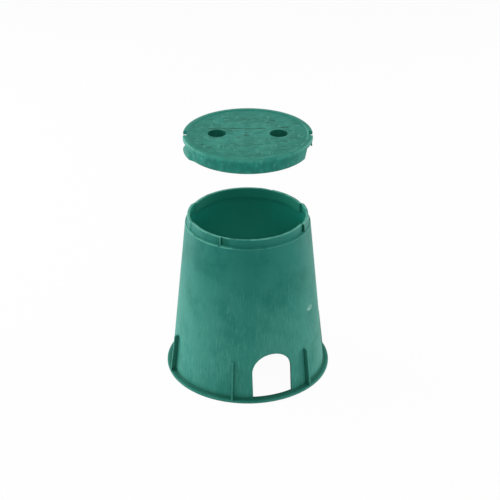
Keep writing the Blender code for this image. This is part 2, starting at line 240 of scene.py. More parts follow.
box_wall = spin_section([
    (FOOT_RADIUS - WALL, 0.0),
    (FLANGE_RADIUS, 0.0),
    (FLANGE_RADIUS, FLANGE_THICKNESS),
    (cone_radius(FLANGE_THICKNESS), FLANGE_THICKNESS),
    (SHOULDER_RADIUS, LEDGE_HEIGHT),
    (COLLAR_RADIUS, LEDGE_HEIGHT),
    (COLLAR_RADIUS, BOX_HEIGHT),
    (COLLAR_INNER, BOX_HEIGHT),
    (COLLAR_INNER, JOGGLE_TOP),
    (cone_radius(JOGGLE_TOP) - WALL, JOGGLE_TOP - JOGGLE_DROP),
], closed=True)
round_rings(box_wall, [(cone_radius(FLANGE_THICKNESS), FLANGE_THICKNESS)], FOOT_FILLET)
round_rings(box_wall, [(COLLAR_RADIUS, LEDGE_HEIGHT)], LEDGE_FILLET)
round_rings(box_wall, [(FLANGE_RADIUS, 0.0), (FLANGE_RADIUS, FLANGE_THICKNESS),
                       (SHOULDER_RADIUS, LEDGE_HEIGHT), (COLLAR_RADIUS, BOX_HEIGHT),
                       (COLLAR_INNER, BOX_HEIGHT)], MOULD_ROUND)
shape_collar(box_wall)
box = make_object(box_wall, "valve_box")


# The gussets: six upright fins that brace the flange against the wall, part of the same moulding.
# Each rises from the flange's edge, leans in a little and ends in a blunt top.
GUSSET_COUNT = 6
GUSSET_AZIMUTH = -11.0
GUSSET_THICKNESS = 3.0 * MILLIMETRE
GUSSET_HEIGHT = 58.5 * MILLIMETRE
GUSSET_LEAN = 6.5 * MILLIMETRE
GUSSET_CORNER = 1.2 * MILLIMETRE
GUSSET_SETBACK = 0.4 * MILLIMETRE
GUSSET_ROUND = 0.7 * MILLIMETRE


def draw_out(drawn, faces, along):
    """Draws faces out along a vector to a closed bar."""
    ends = bmesh.ops.extrude_face_region(drawn, geom=faces)["geom"]
    bmesh.ops.translate(drawn, vec=along, verts=[end for end in ends if isinstance(end, bmesh.types.BMVert)])
    bmesh.ops.recalc_face_normals(drawn, faces=drawn.faces)


def make_gusset(azimuth):
    """One fin: its outline as a face, drawn to its thickness and rounded on its outer edges."""
    fin = bmesh.new()
    buried = WALL / 2
    outer = FLANGE_RADIUS - GUSSET_SETBACK
    outline = [
        (cone_radius(0.0) - buried, FLANGE_THICKNESS / 2),
        (outer, FLANGE_THICKNESS / 2),
        (outer, FLANGE_THICKNESS + MOULD_ROUND),
        (outer - GUSSET_LEAN, GUSSET_HEIGHT - GUSSET_CORNER),
        (outer - GUSSET_LEAN - GUSSET_CORNER, GUSSET_HEIGHT),
        (cone_radius(GUSSET_HEIGHT) - buried, GUSSET_HEIGHT),
    ]
    side = fin.faces.new([fin.verts.new((radius, -GUSSET_THICKNESS / 2, height))
                          for radius, height in outline])
    draw_out(fin, [side], (0.0, GUSSET_THICKNESS, 0.0))
    free_edges = [edge for edge in fin.edges
                  if all(vert.co.x > cone_radius(vert.co.z) and vert.co.z > FLANGE_THICKNESS
                         for vert in edge.verts)]
    bmesh.ops.bevel(fin, geom=free_edges, affect="EDGES", offset=GUSSET_ROUND,
                    segments=ROUND_SEGMENTS, profile=0.5, material=-1)
    bmesh.ops.rotate(fin, verts=fin.verts, cent=(0, 0, 0),
                     matrix=Matrix.Rotation(math.radians(azimuth - QUARTER_ROUND), 3, "Z"))
    return make_object(fin, "gusset")


def join_or_cut(target, tool, operation):
    """Joins a tool to a piece or cuts it away, and keeps only the result."""
    step = target.modifiers.new("step", "BOOLEAN")
    step.operation = operation
    step.solver = "EXACT"
    step.object = tool
    view = bpy.context.evaluated_depsgraph_get()
    shaped = bpy.data.meshes.new_from_object(target.evaluated_get(view))
    target.modifiers.clear()
    target.data = shaped
    bpy.data.objects.remove(tool)


for gusset in range(GUSSET_COUNT):
    join_or_cut(box, make_gusset(GUSSET_AZIMUTH + gusset * FULL_ROUND / GUSSET_COUNT), "UNION")


# The mouse holes: two arches that let the pipes through, half way between two gussets at the
# front and at the back. The flange and a thin sill run on below them.
HOLE_AZIMUTH = GUSSET_AZIMUTH + HALF_ROUND / GUSSET_COUNT
HOLE_WIDTH = 55.0 * MILLIMETRE
HOLE_TOP = 66.7 * MILLIMETRE
HOLE_CORNER = 27.0 * MILLIMETRE
SILL_HEIGHT = 1.0 * MILLIMETRE
HOLE_SILL = FLANGE_THICKNESS + SILL_HEIGHT
HOLE_SEGMENTS = 16
CUT_MARGIN = 10.0 * MILLIMETRE


def make_hole_tool(azimuth):
    """An arched bar: a face with its two upper corners rounded, drawn out through the wall."""
    tool = bmesh.new()
    near = cone_radius(HOLE_TOP) - WALL - CUT_MARGIN
    half = HOLE_WIDTH / 2
    corners = [(-half, HOLE_SILL), (half, HOLE_SILL), (half, HOLE_TOP), (-half, HOLE_TOP)]
    arch = tool.faces.new([tool.verts.new((across, -near, up)) for across, up in corners])
    upper = [vert for vert in arch.verts if vert.co.z > HOLE_TOP - HOLE_CORNER]
    bmesh.ops.bevel(tool, geom=upper, affect="VERTICES", offset=HOLE_CORNER, segments=HOLE_SEGMENTS,
                    profile=0.5, material=-1)
    draw_out(tool, list(tool.faces), (0.0, near - FLANGE_RADIUS - CUT_MARGIN, 0.0))
    bmesh.ops.rotate(tool, verts=tool.verts, cent=(0, 0, 0),
                     matrix=Matrix.Rotation(math.radians(azimuth), 3, "Z"))
    return make_object(tool, "hole_tool")


for azimuth in (HOLE_AZIMUTH, HOLE_AZIMUTH + HALF_ROUND):
    join_or_cut(box, make_hole_tool(azimuth), "DIFFERENCE")


# The box's finish: high-density polyethylene coloured through in green, with the low gloss that it
# takes from the mould. The melt's flow leaves upright streaks and cloudy patches, and dust dulls the lower
# wall. The patches pale towards both sides as painted light, painted shade darkens the corners, and
# painted highlights lighten the rim and the ledge.

# The index is polyethylene's, about 1.5, and the gloss and the roughness are matched to the photograph.
POLYETHYLENE_IOR = 1.5
POLYETHYLENE_GLOSS = 0.16
# The roughness where painted shade lies.
SHADE_ROUGHNESS = 0.95
BOX_GREEN = "#136a5e"
BOX_PALE_GREEN = "#24776b"
BOX_INSIDE_LIT_GREEN = "#198875"
DUSTY_GREEN = "#267a6c"
DUSTY_PALE_GREEN = "#3a897b"
# The green of painted shade in corners, hollows and sink marks.
SHADE_GREEN = "#004a37"
# A pale green for painted highlights on edges, and for the pale dashes, ticks and scrapes of wear.
PALE_WEAR_AND_HIGHLIGHT_GREEN = "#5aad9a"
STREAK_GREEN = "#4f9c8c"
SCUFF_GREEN = "#a3c9bd"
SHARP_ANGLE = math.radians(32.0)

# The patterns' real sizes. The streaks and the mould's grain are finer than this on the real box, and are
# drawn as coarse as they need to show.
CLOUD_SIZE = 42.0 * MILLIMETRE
HIGHLIGHT_PATCH_SIZE = 12.0 * MILLIMETRE
GRAIN_SIZE = 0.7 * MILLIMETRE
GRAIN_DEPTH = 0.02 * MILLIMETRE
STREAK_SIZE = (1.8 * MILLIMETRE, 1.8 * MILLIMETRE, 24.0 * MILLIMETRE)
STREAK_DEPTH = 0.05 * MILLIMETRE
SCUFF_SIZE = (8.0 * MILLIMETRE, 8.0 * MILLIMETRE, 1.6 * MILLIMETRE)
SCUFF_PLACE = (82.0 * MILLIMETRE, -46.0 * MILLIMETRE, 110.0 * MILLIMETRE)
SCUFF_REACH = 10.0 * MILLIMETRE
SCUFF_FLATTENING = (1.0, 1.0, 1.8)
DUST_LOW = 60.0 * MILLIMETRE
DUST_HIGH = 215.0 * MILLIMETRE
SIDE_LIGHT_REACH = 42.0 * MILLIMETRE
# The heights between which the wall's foot gets painted shade.
WALL_FOOT_SHADE_LOW = 5.0 * MILLIMETRE
WALL_FOOT_SHADE_HIGH = 12.0 * MILLIMETRE

# Noise settings, and the values of a noise or a place between which a pattern comes in.
CLOUDS = {"Scale": 1.0 / CLOUD_SIZE, "Detail": 5.0, "Roughness": 0.6}
STREAKS = {"Scale": 1.0, "Detail": 3.0, "Roughness": 0.5}
SCUFFS = {"Scale": 1.0, "Detail": 3.0, "Roughness": 0.6}
HIGHLIGHT_PATCHES = {"Scale": 1.0 / HIGHLIGHT_PATCH_SIZE, "Detail": 4.0, "Roughness": 0.5}
GRAIN = {"Scale": 1.0 / GRAIN_SIZE, "Detail": 2.0, "Roughness": 0.5}
CLOUD_RANGE = {"From Min": 0.32, "From Max": 0.58}
OFF_MIDDLE_RANGE = {"From Min": -0.5 * SIDE_LIGHT_REACH, "From Max": SIDE_LIGHT_REACH}
DUST_RANGE = {"From Min": DUST_HIGH, "From Max": DUST_LOW}
PALE_STREAK_RANGE = {"From Min": 0.54, "From Max": 0.70, "To Max": 0.45}
DARK_STREAK_RANGE = {"From Min": 0.44, "From Max": 0.30, "To Max": 0.45}
WALL_FOOT_SHADE_RANGE = {"From Min": WALL_FOOT_SHADE_HIGH, "From Max": WALL_FOOT_SHADE_LOW, "To Max": 0.35}
ABOVE_FLANGE_RANGE = {"From Min": FLANGE_THICKNESS, "From Max": FLANGE_THICKNESS + FOOT_FILLET}
SCUFF_RANGE = {"From Min": 0.42, "From Max": 0.58, "To Max": 0.6}
SCUFF_REACH_RANGE = {"From Min": SCUFF_REACH, "From Max": 0.5 * SCUFF_REACH}
HIGHLIGHT_PATCH_RANGE = {"From Min": 0.25, "From Max": 0.55}
BOX_SHEEN = {"To Min": 0.42, "To Max": 0.56}

# Settings that many of the finishes' nodes share.
SMOOTH = {"interpolation_type": "SMOOTHSTEP"}
COLOURS = {"data_type": "RGBA"}
SUBTRACT = {"operation": "SUBTRACT"}
MULTIPLY = {"operation": "MULTIPLY"}
DIVIDE = {"operation": "DIVIDE"}
ABSOLUTE = {"operation": "ABSOLUTE"}
LENGTH = {"operation": "LENGTH"}

# How much painted shade or painted highlight a place gets, from none to 1. Pairs: the collar's
# inside from the middle to the sides, beside a latch rib from far to near, a ramp from near to far, and a
# fin from the wall outwards.
UNSHADED = 0.0
FULL_SHADE = 1.0
COLLAR_SHADE = (0.15, 0.55)
LATCH_SIDE_SHADE = (0.0, 0.45)
RAMP_SHADE = (0.55, 0.2)
FIN_SHADE = (0.8, 0.6)
FOOT_CORNER_SHADE = 0.7
FLANGE_EDGE_SHADE = 0.1
RIM_HIGHLIGHT = 0.9
LATCH_HIGHLIGHT = 0.7
LATCH_HIGHLIGHT_REACH = 0.6 * LATCH_WIDTH
LEFT_LEDGE_HIGHLIGHT = 1.0
LEDGE_HIGHLIGHT = 0.35

# How much of a face's normal has to point inwards, up, down or along the wall for a rule to hold.
INWARDS = 0.3
UPWARDS = 0.7
DOWNWARDS = 0.3
NEARLY_LEVEL = 0.3
BARELY_UPWARDS = 0.15
LUG_END_FACING = 0.35
FIN_SIDE_FACING = 0.6


def mark_corners(piece, name, rule):
    """Stores how much painted shade or painted highlight a rule gives each corner of each face."""
    mesh = piece.data
    marks = mesh.attributes.new(name, "FLOAT", "CORNER")
    for face in mesh.polygons:
        for loop in face.loop_indices:
            point = mesh.vertices[mesh.loops[loop].vertex_index].co
            marks.data[loop].value = rule(point, face.normal)


def faces_inwards(point, normal):
    """Whether a face is part of the box's inside."""
    return 1.0 if normal.x * point.x + normal.y * point.y < -INWARDS * radius_of(point) else 0.0


def faces_along(point, normal):
    """How far a face looks along the wall, from none to wholly."""
    return abs(normal.x * point.y - normal.y * point.x) / radius_of(point)


def past_latch(point):
    """How far a point is past a latch rib, in degrees, or before it where this is negative."""
    return azimuth_in_pair(point, LATCH_AZIMUTH - RAMP_WIDTH) - LATCH_AZIMUTH


def beside_latch(point):
    """Painted shade on both sides of a latch rib, most of it in the hollow of the ramp."""
    past = past_latch(point)
    if past < 0.0:
        return part_way(*LATCH_SIDE_SHADE, 1.0 + past / RAMP_WIDTH)
    if past < LATCH_WIDTH + RAMP_WIDTH:
        return part_way(*RAMP_SHADE, past / (LATCH_WIDTH + RAMP_WIDTH))
    return UNSHADED


def box_painted_shade(point, normal):
    """Painted shade on the collar beside its lug ends and latch ribs and on its inside, on the gussets'
    sides, in the arches, and on the flange along the wall's foot.
    """
    radius = radius_of(point)
    proud = radius - cone_radius(point.z)
    if point.z > LEDGE_HEIGHT - TOLERANCE and radius > COLLAR_RADIUS - WALL / 2:
        if normal.z > UPWARDS:
            return UNSHADED
        if faces_along(point, normal) > LUG_END_FACING and point.x > -COLLAR_RADIUS / 2:
            return FULL_SHADE
        return beside_latch(point)
    if point.z > JOGGLE_TOP - TOLERANCE and proud < -WALL / 2 and normal.z < NEARLY_LEVEL:
        return part_way(*COLLAR_SHADE, abs(point.x) / COLLAR_RADIUS)
    if point.z < HOLE_TOP + WALL and (faces_along(point, normal) > FIN_SIDE_FACING or normal.z < -DOWNWARDS):
        return part_way(*FIN_SHADE, max(proud, 0.0) / FLANGE_WIDTH)
    if point.z < FLANGE_THICKNESS + FOOT_FILLET + TOLERANCE and normal.z > BARELY_UPWARDS:
        return FLANGE_EDGE_SHADE if radius > FOOT_RADIUS + 2.0 * FOOT_FILLET else FOOT_CORNER_SHADE
    return UNSHADED


def box_painted_highlight(point, normal):
    """Painted highlights on the rim, the latch ribs and the ledge, brightest on the ledge at the left."""
    radius = radius_of(point)
    if (radius > COLLAR_RADIUS and abs(past_latch(point)) < LATCH_HIGHLIGHT_REACH
            and faces_along(point, normal) < LUG_END_FACING):
        return LATCH_HIGHLIGHT if point.z > LEDGE_HEIGHT + TOLERANCE else 0.0
    if normal.z < BARELY_UPWARDS or point.z < LEDGE_HEIGHT - MOULD_ROUND - TOLERANCE:
        return 0.0
    if point.z > BOX_HEIGHT - MOULD_ROUND - TOLERANCE:
        return RIM_HIGHLIGHT
    if radius > SHOULDER_RADIUS - MOULD_ROUND - TOLERANCE:
        return LEFT_LEDGE_HIGHLIGHT if point.x < -SHOULDER_RADIUS / 4 else LEDGE_HIGHLIGHT
    return 0.0


def linear_colour(text):
    """An sRGB hex colour as linear red, green, blue and alpha, by the sRGB standard's curve."""
    channels = [int(text[place:place + 2], 16) / 255.0 for place in (1, 3, 5)]
    return [value / 12.92 if value <= 0.04045 else ((value + 0.055) / 1.055) ** 2.4
            for value in channels] + [1.0]


def add_node(tree, kind, settings, inputs):
    """Adds a node. Its inputs are values, hex colours, sockets, or nodes for their first output."""
    node = tree.nodes.new(kind)
    for name, value in settings.items():
        setattr(node, name, value)
    for name, value in inputs.items():
        if isinstance(value, bpy.types.Node):
            value = next(output for output in value.outputs if output.enabled)
        if isinstance(value, bpy.types.NodeSocket):
            tree.links.new(value, node.inputs[name])
        else:
            node.inputs[name].default_value = linear_colour(value) if isinstance(value, str) else value
    return node


def start_finish(name):
    """A new material, its empty node tree and the Object coordinates in it."""
    made = bpy.data.materials.new(name)
    made.use_nodes = True
    made.node_tree.nodes.clear()
    return made, made.node_tree, add_node(made.node_tree, "ShaderNodeTexCoord", {}, {}).outputs["Object"]


def complete_finish(tree, place, colour, sheen, relief, depth):
    """Adds the painted shade, roughest where it lies, the painted highlights on edges and the mould's grain,
    and makes the plastic's shader of it all.
    """
    painted_shade = add_node(tree, "ShaderNodeAttribute", {"attribute_name": "painted_shade"}, {}).outputs["Fac"]
    painted_highlight = add_node(tree, "ShaderNodeAttribute", {"attribute_name": "painted_highlight"}, {}).outputs["Fac"]
    patches = add_node(tree, "ShaderNodeTexNoise", {}, {"Vector": place, **HIGHLIGHT_PATCHES})
    patchy = add_node(tree, "ShaderNodeMapRange", SMOOTH, {"Value": patches, **HIGHLIGHT_PATCH_RANGE})
    highlight_share = add_node(tree, "ShaderNodeMath", MULTIPLY, {0: painted_highlight, 1: patchy})
    # Painted shade: the colour darkens towards the shade green as far as the attribute says.
    shaded = add_node(tree, "ShaderNodeMix", COLOURS, {"Factor": painted_shade, "A": colour, "B": SHADE_GREEN})
    # Painted highlight: the colour pales in patches as far as the attribute says.
    highlighted = add_node(tree, "ShaderNodeMix", COLOURS, {"Factor": highlight_share, "A": shaded, "B": PALE_WEAR_AND_HIGHLIGHT_GREEN})
    dulled = add_node(tree, "ShaderNodeMix", {"data_type": "FLOAT"},
                      {"Factor": painted_shade, "A": sheen, "B": SHADE_ROUGHNESS})
    shape = add_node(tree, "ShaderNodeBump", {}, {"Height": relief, "Strength": 1.0, "Distance": depth})
    grain = add_node(tree, "ShaderNodeTexNoise", {}, {"Vector": place, **GRAIN})
    grained = add_node(tree, "ShaderNodeBump", {}, {"Height": grain, "Strength": 1.0,
                                                    "Distance": GRAIN_DEPTH, "Normal": shape})
    shader = add_node(tree, "ShaderNodeBsdfPrincipled", {},
                      {"Base Color": highlighted, "Roughness": dulled, "Metallic": 0.0, "Normal": grained,
                       "IOR": POLYETHYLENE_IOR, "Specular IOR Level": POLYETHYLENE_GLOSS})
    add_node(tree, "ShaderNodeOutputMaterial", {}, {"Surface": shader})


def finish_piece(piece, finish):
    """Gives a piece its finish, with smooth round faces and crisp edges."""
    piece.data.materials.clear()
    piece.data.materials.append(finish)
    piece.data.shade_smooth()
    piece.data.set_sharp_from_angle(angle=SHARP_ANGLE)


box_finish, tree, place = start_finish("moulded polyethylene, box green")
axes = add_node(tree, "ShaderNodeSeparateXYZ", {}, {"Vector": place}).outputs

# Cloudy patches on a wall that is dustier towards its foot, with painted light: the pale patches grow towards
# both sides, where the side lamps light the wall.
cloud = add_node(tree, "ShaderNodeTexNoise", {}, {"Vector": place, **CLOUDS})
cloudy = add_node(tree, "ShaderNodeMapRange", SMOOTH, {"Value": cloud, **CLOUD_RANGE})
off_middle = add_node(tree, "ShaderNodeMath", ABSOLUTE, {0: axes["X"]})
side_light_share = add_node(tree, "ShaderNodeMapRange", SMOOTH, {"Value": off_middle, **OFF_MIDDLE_RANGE})
patch = add_node(tree, "ShaderNodeMath", MULTIPLY, {0: cloudy, 1: side_light_share})
dust = add_node(tree, "ShaderNodeMapRange", SMOOTH, {"Value": axes["Z"], **DUST_RANGE})
upper = add_node(tree, "ShaderNodeMix", COLOURS, {"Factor": patch, "A": BOX_GREEN, "B": BOX_PALE_GREEN})
lower = add_node(tree, "ShaderNodeMix", COLOURS, {"Factor": patch, "A": DUSTY_GREEN, "B": DUSTY_PALE_GREEN})
wall_green = add_node(tree, "ShaderNodeMix", COLOURS, {"Factor": dust, "A": upper, "B": lower})

# Upright streaks of the melt's flow, pale and dark, which show where there is dust.
streak_place = add_node(tree, "ShaderNodeVectorMath", DIVIDE, {0: place, 1: STREAK_SIZE})
streak = add_node(tree, "ShaderNodeTexNoise", {}, {"Vector": streak_place, **STREAKS})
pale = add_node(tree, "ShaderNodeMapRange", SMOOTH, {"Value": streak, **PALE_STREAK_RANGE})
dark = add_node(tree, "ShaderNodeMapRange", SMOOTH, {"Value": streak, **DARK_STREAK_RANGE})
pale_dust = add_node(tree, "ShaderNodeMath", MULTIPLY, {0: pale, 1: dust})
dark_dust = add_node(tree, "ShaderNodeMath", MULTIPLY, {0: dark, 1: dust})
pale_streaked = add_node(tree, "ShaderNodeMix", COLOURS,
                         {"Factor": pale_dust, "A": wall_green, "B": STREAK_GREEN})
streaked = add_node(tree, "ShaderNodeMix", COLOURS, {"Factor": dark_dust, "A": pale_streaked, "B": BOX_GREEN})

# Painted shade on the wall's foot, and one pale scrape at the right.
low_wall = add_node(tree, "ShaderNodeMapRange", SMOOTH, {"Value": axes["Z"], **WALL_FOOT_SHADE_RANGE})
above_flange = add_node(tree, "ShaderNodeMapRange", SMOOTH, {"Value": axes["Z"], **ABOVE_FLANGE_RANGE})
wall_foot_shade = add_node(tree, "ShaderNodeMath", MULTIPLY, {0: low_wall, 1: above_flange})
wall_foot_shaded = add_node(tree, "ShaderNodeMix", COLOURS, {"Factor": wall_foot_shade, "A": streaked, "B": SHADE_GREEN})
scuff_place = add_node(tree, "ShaderNodeVectorMath", DIVIDE, {0: place, 1: SCUFF_SIZE})
scuff = add_node(tree, "ShaderNodeTexNoise", {}, {"Vector": scuff_place, **SCUFFS})
scuff_flecks = add_node(tree, "ShaderNodeMapRange", SMOOTH, {"Value": scuff, **SCUFF_RANGE})
from_scuff = add_node(tree, "ShaderNodeVectorMath", SUBTRACT, {0: place, 1: SCUFF_PLACE})
flattened = add_node(tree, "ShaderNodeVectorMath", MULTIPLY, {0: from_scuff, 1: SCUFF_FLATTENING})
off_scuff = add_node(tree, "ShaderNodeVectorMath", LENGTH, {0: flattened})
near_scuff = add_node(tree, "ShaderNodeMapRange", SMOOTH, {"Value": off_scuff, **SCUFF_REACH_RANGE})
scrape = add_node(tree, "ShaderNodeMath", MULTIPLY, {0: scuff_flecks, 1: near_scuff})
scraped = add_node(tree, "ShaderNodeMix", COLOURS, {"Factor": scrape, "A": wall_foot_shaded, "B": SCUFF_GREEN})

# Painted light: the box's inside is a lighter green than its outside.
inside = add_node(tree, "ShaderNodeAttribute", {"attribute_name": "inside"}, {}).outputs["Fac"]
inside_lit = add_node(tree, "ShaderNodeMix", COLOURS, {"Factor": inside, "A": scraped, "B": BOX_INSIDE_LIT_GREEN})
sheen = add_node(tree, "ShaderNodeMapRange", {}, {"Value": streak, **BOX_SHEEN})
complete_finish(tree, place, inside_lit, sheen, streak, STREAK_DEPTH)

finish_piece(box, box_finish)
mark_corners(box, "painted_shade", box_painted_shade)
mark_corners(box, "painted_highlight", box_painted_highlight)
mark_corners(box, "inside", faces_inwards)
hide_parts("box_body")
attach(box, "box")


# The cover: one polyethylene moulding, a plate with a raised border and a skirt that tapers in to its
# foot. It isn't fixed: the skirt drops over the box's collar, with a little room at the latch ribs.
COVER_LOW, COVER_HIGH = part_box("cover")
BORDER_HEIGHT = 0.6 * MILLIMETRE
PLATE_TOP = COVER_HIGH.z - BORDER_HEIGHT
PLATE_THICKNESS = 5.0 * MILLIMETRE
UNDERSIDE = PLATE_TOP - PLATE_THICKNESS
SKIRT_FOOT_HEIGHT = COVER_LOW.z
COVER_OVERHANG = 0.4 * MILLIMETRE
COVER_RADIUS = SHOULDER_RADIUS + COVER_OVERHANG
BORDER_WIDTH = 6.5 * MILLIMETRE
BORDER_INNER = COVER_RADIUS - BORDER_WIDTH
COVER_ROUND = 1.6 * MILLIMETRE
SKIRT_THICKNESS = 3.0 * MILLIMETRE
SKIRT_INNER = COVER_RADIUS - SKIRT_THICKNESS
SKIRT_CLEARANCE = 0.4 * MILLIMETRE
SKIRT_FOOT = COLLAR_RADIUS + LATCH_PROUD + SKIRT_CLEARANCE
SKIRT_EDGE = 1.9 * MILLIMETRE


def close_ring(turned, radius, height):
    """Fills the open circle at this radius and height with one face."""
    edges = [edge for edge in turned.edges if edge.is_boundary and lies_on(edge, radius, height)]
    bmesh.ops.contextual_create(turned, geom=edges)


cover_shell = spin_section([
    (BORDER_INNER - BORDER_HEIGHT, PLATE_TOP),
    (BORDER_INNER, COVER_HIGH.z),
    (COVER_RADIUS, COVER_HIGH.z),
    (COVER_RADIUS, UNDERSIDE),
    (SKIRT_FOOT + SKIRT_EDGE, SKIRT_FOOT_HEIGHT),
    (SKIRT_FOOT, SKIRT_FOOT_HEIGHT),
    (SKIRT_INNER, UNDERSIDE),
], closed=False)
close_ring(cover_shell, BORDER_INNER - BORDER_HEIGHT, PLATE_TOP)
close_ring(cover_shell, SKIRT_INNER, UNDERSIDE)
bmesh.ops.recalc_face_normals(cover_shell, faces=cover_shell.faces)
round_rings(cover_shell, [(COVER_RADIUS, COVER_HIGH.z), (SKIRT_INNER, UNDERSIDE)], COVER_ROUND)
round_rings(cover_shell, [(SKIRT_FOOT + SKIRT_EDGE, SKIRT_FOOT_HEIGHT), (SKIRT_FOOT, SKIRT_FOOT_HEIGHT)],
            MOULD_ROUND)
cover = make_object(cover_shell, "valve_box_cover")


# The ribs and finger walls under the cover, moulded with it: two long ribs beside the finger holes,
# short ones square to them, and a round wall that lines each hole.
FINGER_HOLE = 24.0 * MILLIMETRE
FINGER_SPACING = 80.0 * MILLIMETRE
FINGER_WALL = 2.8 * MILLIMETRE
FINGER_WALL_DEPTH = 12.0 * MILLIMETRE
RIB_THICKNESS = 2.0 * MILLIMETRE
RIB_DEPTH = 8.0 * MILLIMETRE
CROSS_DEPTH = RIB_DEPTH - MOULD_ROUND
RIB_ROOT = 2.5 * MILLIMETRE
RIB_CLEARANCE = 1.2 * MILLIMETRE
RIB_REACH = COLLAR_INNER - RIB_CLEARANCE
RIB_ROW = FINGER_HOLE / 2 + FINGER_WALL + RIB_THICKNESS / 4
POST_SEGMENTS = 72


def make_post(centre, radius, low, high):
    """A round post between two heights."""
    post = bmesh.new()
    bmesh.ops.create_cone(post, cap_ends=True, segments=POST_SEGMENTS, radius1=radius, radius2=radius,
                          depth=high - low, matrix=Matrix.Translation((*centre, (low + high) / 2)))
    return make_object(post, "post")


def make_bar(low, high):
    """A plain bar between two opposite corners."""
    bar = bmesh.new()
    low, high = Vector(low), Vector(high)
    bmesh.ops.create_cube(bar, size=1.0, matrix=Matrix.Translation((low + high) / 2)
                          @ Matrix.Diagonal((*(high - low), 1.0)))
    return make_object(bar, "bar")


def rib_end(off_axis):
    """How far out a rib runs, clear of the collar, if its line passes this far off the axis."""
    return math.sqrt(RIB_REACH ** 2 - (off_axis + RIB_THICKNESS) ** 2)


for side in (-1, 1):
    join_or_cut(cover, make_post((side * FINGER_SPACING / 2, 0.0), FINGER_HOLE / 2 + FINGER_WALL,
                                 UNDERSIDE - FINGER_WALL_DEPTH, UNDERSIDE + RIB_ROOT), "UNION")
for row in (-RIB_ROW, RIB_ROW):
    end = rib_end(RIB_ROW)
    join_or_cut(cover, make_bar((-end, row - RIB_THICKNESS / 2, UNDERSIDE - RIB_DEPTH),
                                (end, row + RIB_THICKNESS / 2, UNDERSIDE + RIB_ROOT)), "UNION")
for across in (-FINGER_SPACING / 2, 0.0, FINGER_SPACING / 2):
    for side in (-1, 1):
        near = side * RIB_ROW if across else 0.0
        ends = sorted((near, side * rib_end(abs(across))))
        join_or_cut(cover, make_bar((across - RIB_THICKNESS / 2, ends[0], UNDERSIDE - CROSS_DEPTH),
                                    (across + RIB_THICKNESS / 2, ends[1], UNDERSIDE + RIB_ROOT)), "UNION")


# The skirt's gaps and tongues, and the cover's holes: the skirt is open over each lug, and at one end
# of the gap a pointed tongue flares out and runs along the lug. Two finger holes go through the
# plate, and a pry notch is cut in its rim at each end of their line.
GAP_CLEARANCE = 1.3
GAP_INSET = 5.0 * MILLIMETRE
GAP_RELIEF = 0.3 * MILLIMETRE
TONGUE_CLEARANCE = 0.5 * MILLIMETRE
TONGUE_RADIUS = LUG_RADIUS + TONGUE_CLEARANCE
TONGUE_SETBACK = 0.1 * MILLIMETRE
TONGUE_OUTER = COVER_RADIUS - TONGUE_SETBACK
TONGUE_INSET = 0.6 * MILLIMETRE
TONGUE_SPREAD = 0.6 * MILLIMETRE
TONGUE_TIP = LUG_END - 20.0
TONGUE_ROOT = LUG_END - 3.0
TONGUE_SPARE = 1.0
TONGUE_SEAT = 0.6
TONGUE_BEND = 2.0
TONGUE_FADE = 9.0
BEND_STEPS = 24
NOTCH_WIDTH = 14.0 * MILLIMETRE
NOTCH_DEPTH = 5.2 * MILLIMETRE


def spin_bar(start, end, radii, heights):
    """A bar of square section, bent round the axis from one azimuth to another."""
    bent = bmesh.new()
    corners = [(radii[0], heights[0]), (radii[1], heights[0]), (radii[1], heights[1]), (radii[0], heights[1])]
    face = bent.faces.new([bent.verts.new(on_circle(radius, start, height)) for radius, height in corners])
    bmesh.ops.spin(bent, geom=[face], axis=(0, 0, 1), cent=(0, 0, 0), angle=math.radians(end - start),
                   steps=BEND_STEPS)
    return bent


def make_gap_tool(turn):
    """The bent bar that opens the skirt over the right lug, or over the left one half a turn on."""
    heights = (SKIRT_FOOT_HEIGHT - CUT_MARGIN, UNDERSIDE + GAP_RELIEF)
    gap = spin_bar(LUG_START - GAP_CLEARANCE + turn, LUG_END + GAP_CLEARANCE + turn,
                   (SKIRT_FOOT - GAP_INSET, COVER_RADIUS + CUT_MARGIN), heights)
    bmesh.ops.recalc_face_normals(gap, faces=gap.faces)
    return make_object(gap, "gap_tool")


